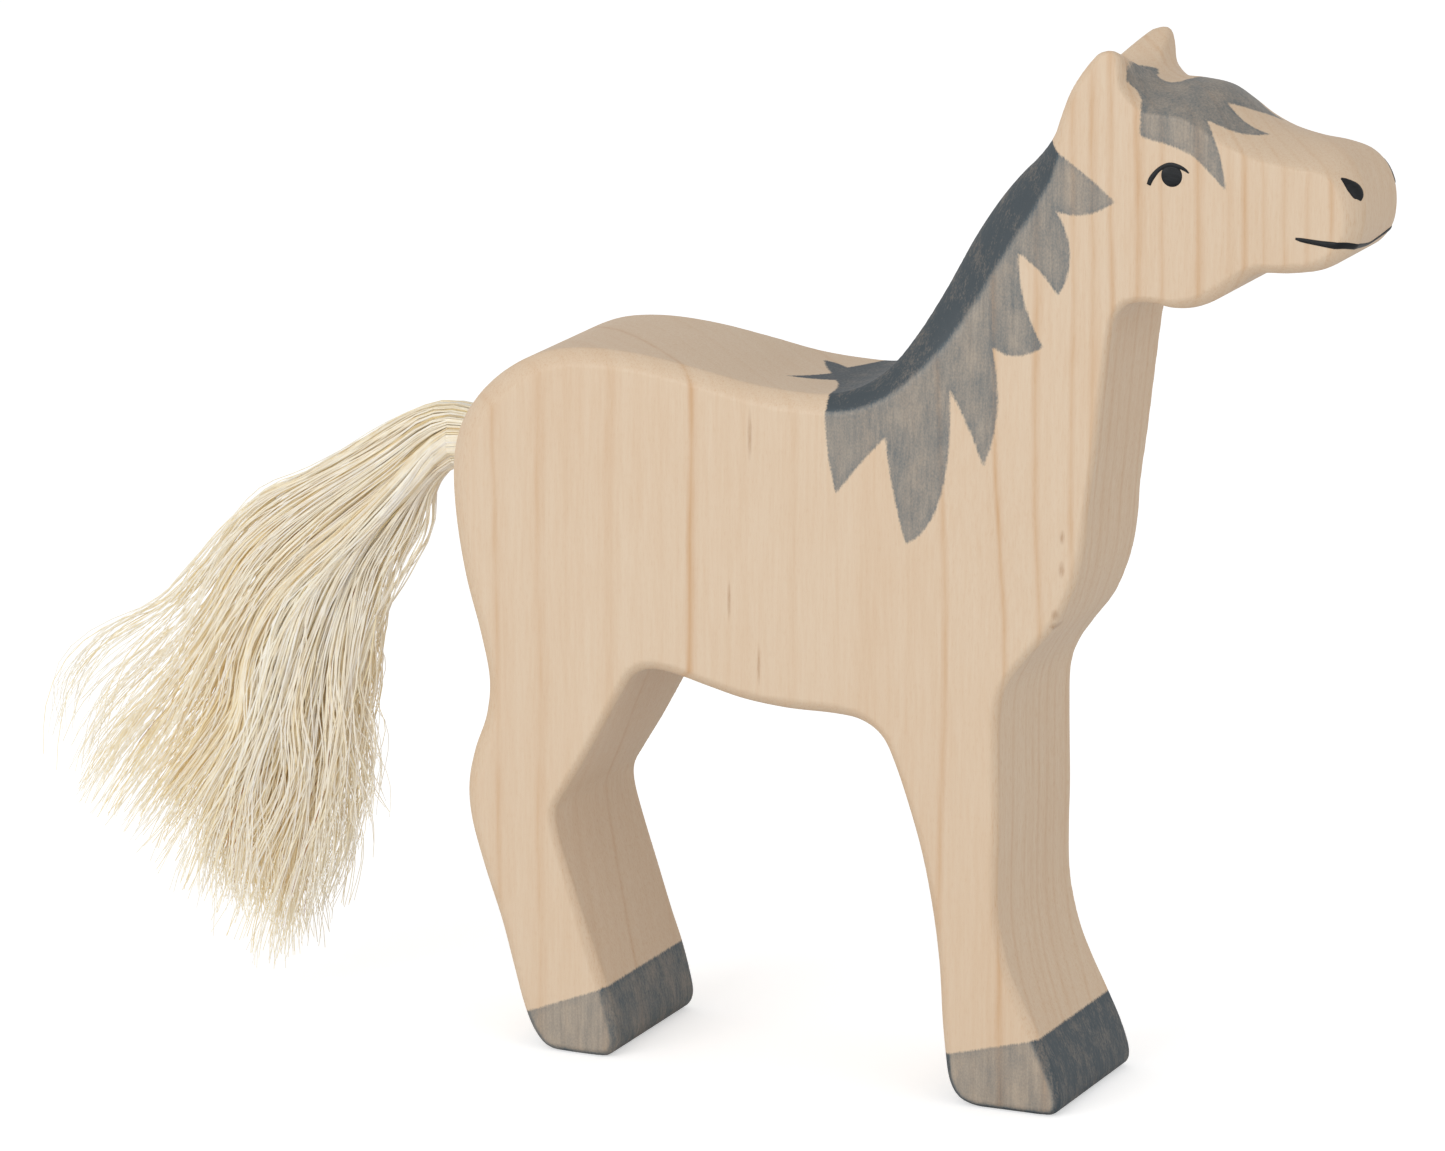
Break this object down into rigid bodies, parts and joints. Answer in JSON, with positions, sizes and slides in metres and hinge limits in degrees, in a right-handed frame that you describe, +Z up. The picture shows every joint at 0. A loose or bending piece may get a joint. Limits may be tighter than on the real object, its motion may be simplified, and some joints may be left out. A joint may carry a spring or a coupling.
{
  "type": "toy horse",
  "caption": "Standing toy horse sawn from one plank of pale wood, with stained mane and hooves, painted face and a loose fibre tail that swings and lifts.",
  "frame": {"origin": "on the floor, under the middle of the whole object's box", "axes": "+X the way the horse faces, +Z up, +Y to the horse's left, across the plank's thickness"},
  "size_m": [0.1997, 0.028, 0.1498],
  "materials": {
    "maple": "smooth sanded pale maple with a thin matt oil, mane, forelock and hooves stained blue-grey",
    "black_paint": "brushed satin black paint",
    "fibre": "loose combed plant fibre, cream with golden strands",
    "thread": "waxed linen thread",
    "glue": "dried wood glue"
  },
  "bodies": {
    "horse": {"body": "maple", "eye_right": "black_paint", "eye_left": "black_paint", "nostril_right": "black_paint", "nostril_left": "black_paint", "mouth_line": "black_paint", "glue_plug": "glue", "tail_bundle": "fibre", "root_whipping": "thread"},
    "tail_neck": {"tail_root": "fibre"},
    "tail": {"tail_tuft": "fibre"}
  },
  "joints": [
    {"name": "tail_swing", "type": "hinge", "parent": "horse", "child": "tail_neck", "pos_m": [-0.0349, 0, 0.085], "axis": [0, 0, 1], "range_deg": [-35, 35], "stiffness_Nm_per_rad": 0.4},
    {"name": "tail_lift", "type": "hinge", "parent": "tail_neck", "child": "tail", "pos_m": [-0.0409, 0, 0.085], "axis": [0, 1, 0], "range_deg": [-20, 40], "stiffness_Nm_per_rad": 0.4}
  ]
}
